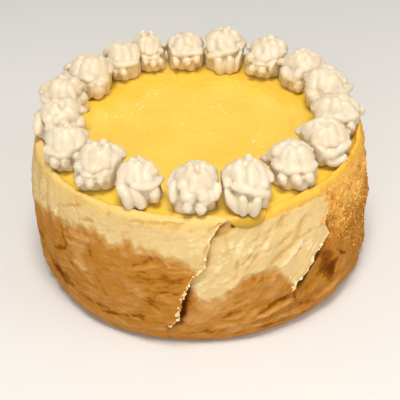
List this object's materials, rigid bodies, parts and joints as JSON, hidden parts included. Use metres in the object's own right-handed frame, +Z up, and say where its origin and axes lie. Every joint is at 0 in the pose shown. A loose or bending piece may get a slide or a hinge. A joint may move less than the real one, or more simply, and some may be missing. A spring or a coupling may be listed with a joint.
{
  "type": "cheesecake",
  "caption": "Tall round cheesecake with a torn, folded skin baked pale and brown, a raised rim, a glossy lemon curd top that drips over the rim, and a ring of piped cream.",
  "frame": {"origin": "middle of the flat base", "axes": "+Z up out of the top, -Y towards the side with the torn skin and the curd's drip"},
  "size_m": [0.1535, 0.155, 0.0796],
  "materials": {
    "baked_skin": "uneven baked skin, pale cream above and golden brown below, satin",
    "lemon_curd": "smooth and glossy, faint swirls",
    "whipped_cream": "soft matt with smooth ridges"
  },
  "bodies": {
    "root": {"cheesecake": "baked_skin", "lemon_curd": "lemon_curd", "cream_dollop_01": "whipped_cream", "cream_dollop_02": "whipped_cream", "cream_dollop_03": "whipped_cream", "cream_dollop_04": "whipped_cream", "cream_dollop_05": "whipped_cream", "cream_dollop_06": "whipped_cream", "cream_dollop_07": "whipped_cream", "cream_dollop_08": "whipped_cream", "cream_dollop_09": "whipped_cream", "cream_dollop_10": "whipped_cream", "cream_dollop_11": "whipped_cream", "cream_dollop_12": "whipped_cream", "cream_dollop_13": "whipped_cream", "cream_dollop_14": "whipped_cream", "cream_dollop_15": "whipped_cream", "cream_dollop_16": "whipped_cream", "cream_dollop_17": "whipped_cream", "cream_dollop_18": "whipped_cream"}
  },
  "joints": []
}
